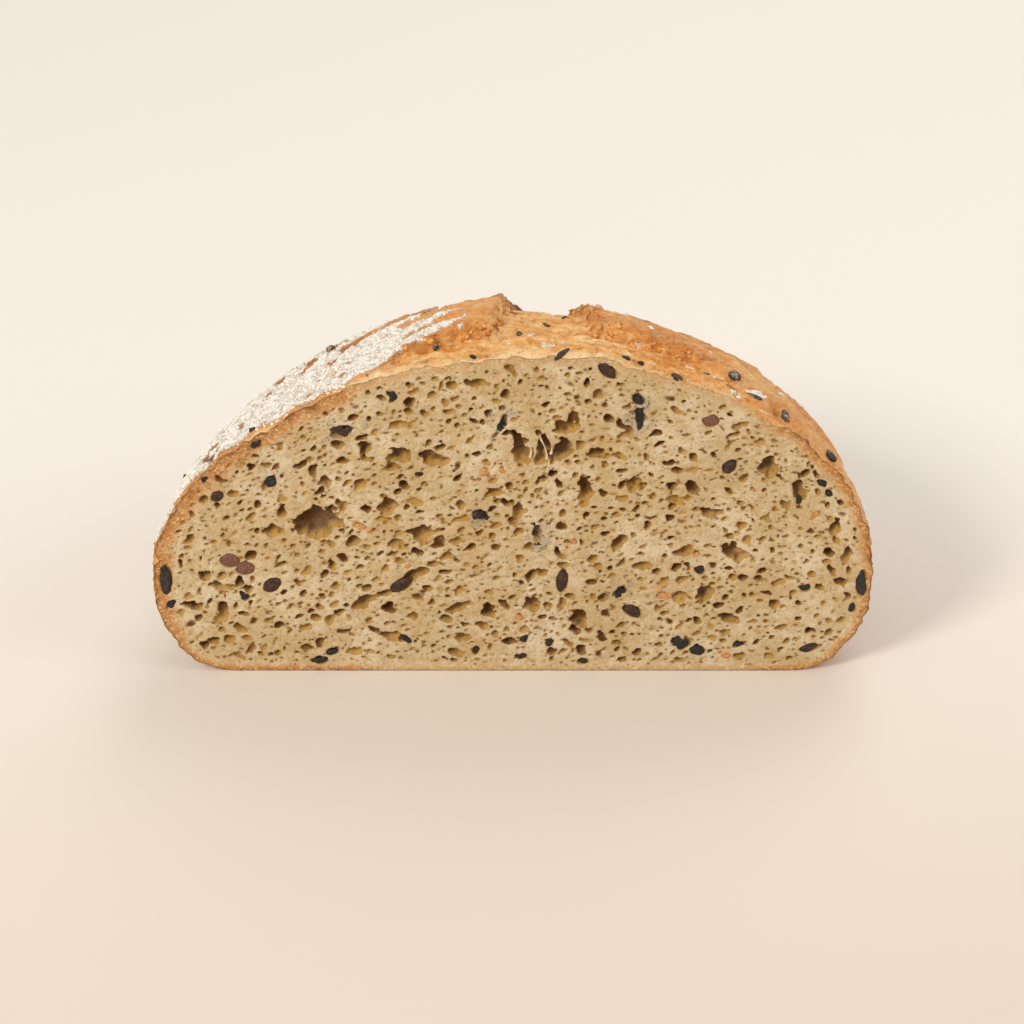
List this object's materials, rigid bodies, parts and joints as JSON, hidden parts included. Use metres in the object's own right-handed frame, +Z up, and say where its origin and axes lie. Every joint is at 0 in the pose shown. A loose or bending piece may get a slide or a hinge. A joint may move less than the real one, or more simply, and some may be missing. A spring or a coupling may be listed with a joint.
{
  "type": "half rye bread loaf",
  "caption": "Half of a round, slashed rye loaf, cut side open: seeded, holey crumb inside a thin golden crust, floured on top, standing on its flat base.",
  "frame": {"origin": "middle of the bounding box's bottom, on the flat base that the half loaf stands on", "axes": "-Y out of the cut face, +X to the right along the cut, +Z up from the flat base to the crown"},
  "size_m": [0.1986, 0.1009, 0.1],
  "materials": {
    "bread": "matt baked crust; pale, seeded crumb on the cut face"
  },
  "bodies": {
    "root": {"half_loaf": "bread"}
  },
  "joints": []
}
